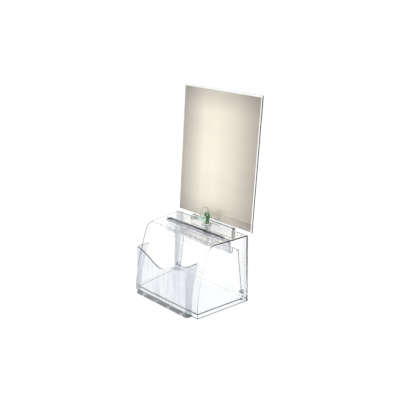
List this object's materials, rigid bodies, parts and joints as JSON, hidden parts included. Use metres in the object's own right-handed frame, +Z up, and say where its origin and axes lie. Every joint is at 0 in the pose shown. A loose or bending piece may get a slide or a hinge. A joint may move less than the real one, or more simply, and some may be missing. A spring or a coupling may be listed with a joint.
{
  "type": "donation box",
  "caption": "Clear countertop donation box with a coin slot in its top, a brochure pocket in front, a keyed rear door and a tall removable sign holder behind.",
  "frame": {"origin": "under the middle of the bounding box, on the surface that the box stands on", "axes": "+Z up, front with the brochure pocket towards -Y, +X to the right of a person facing the front"},
  "size_m": [0.226, 0.1762, 0.4363],
  "materials": {
    "clear_plastic": "polished clear injection-moulded plastic",
    "sign_card": "satin printed card with a soft sheen",
    "lock_nickel": "bright nickel plate",
    "steel": "zinc plated",
    "key_brass": "nickel-tinted brass, lightly worn",
    "green_plastic": "moulded, glossy dark green",
    "pale_green_plastic": "moulded, glossy pale green"
  },
  "bodies": {
    "box": {"shell": "clear_plastic", "floor_panel": "clear_plastic", "brochure_pocket": "clear_plastic", "rear_frame": "clear_plastic", "slot_guard": "clear_plastic", "lock_barrel": "lock_nickel", "lock_nut": "lock_nickel", "hinge_pins": "steel"},
    "door": {"rear_door": "clear_plastic", "door_catch": "clear_plastic"},
    "lock_core": {"lock_plug": "lock_nickel", "lock_cam": "lock_nickel", "cam_screw": "steel"},
    "key": {"key_blade": "key_brass", "key_bow": "green_plastic"},
    "ring": {"key_ring": "steel"},
    "spare_key": {"spare_key_blade": "key_brass", "spare_key_bow": "pale_green_plastic"},
    "sign": {"sign_holder": "clear_plastic"},
    "sheet": {"sign_sheet": "sign_card"}
  },
  "joints": [
    {"name": "door_hinge", "type": "hinge", "parent": "box", "child": "door", "pos_m": [0, 0.05586, 0.017], "axis": [-1, 0, 0], "range_deg": [0, 95]},
    {"name": "lock_turn", "type": "hinge", "parent": "box", "child": "lock_core", "pos_m": [0, 0.04786, 0.148], "axis": [0, 0, 1], "range_deg": [0, 90]},
    {"name": "key_slide", "type": "slide", "parent": "lock_core", "child": "key", "axis": [0, 0, 1], "range_m": [0, 0.026]},
    {"name": "ring_swing", "type": "hinge", "parent": "key", "child": "ring", "pos_m": [0, 0.04786, 0.1738], "axis": [-1, 0, 0], "range_deg": [0, 80]},
    {"name": "spare_key_swing", "type": "hinge", "parent": "ring", "child": "spare_key", "pos_m": [0, 0.03866, 0.1644], "axis": [0, 1, 0], "range_deg": [0, 50]},
    {"name": "sign_lift", "type": "slide", "parent": "box", "child": "sign", "axis": [0, 0.0645, 0.9979], "range_m": [0, 0.028]},
    {"name": "sheet_lift", "type": "slide", "parent": "sign", "child": "sheet", "axis": [0, 0.0645, 0.9979], "range_m": [0, 0.285]}
  ]
}
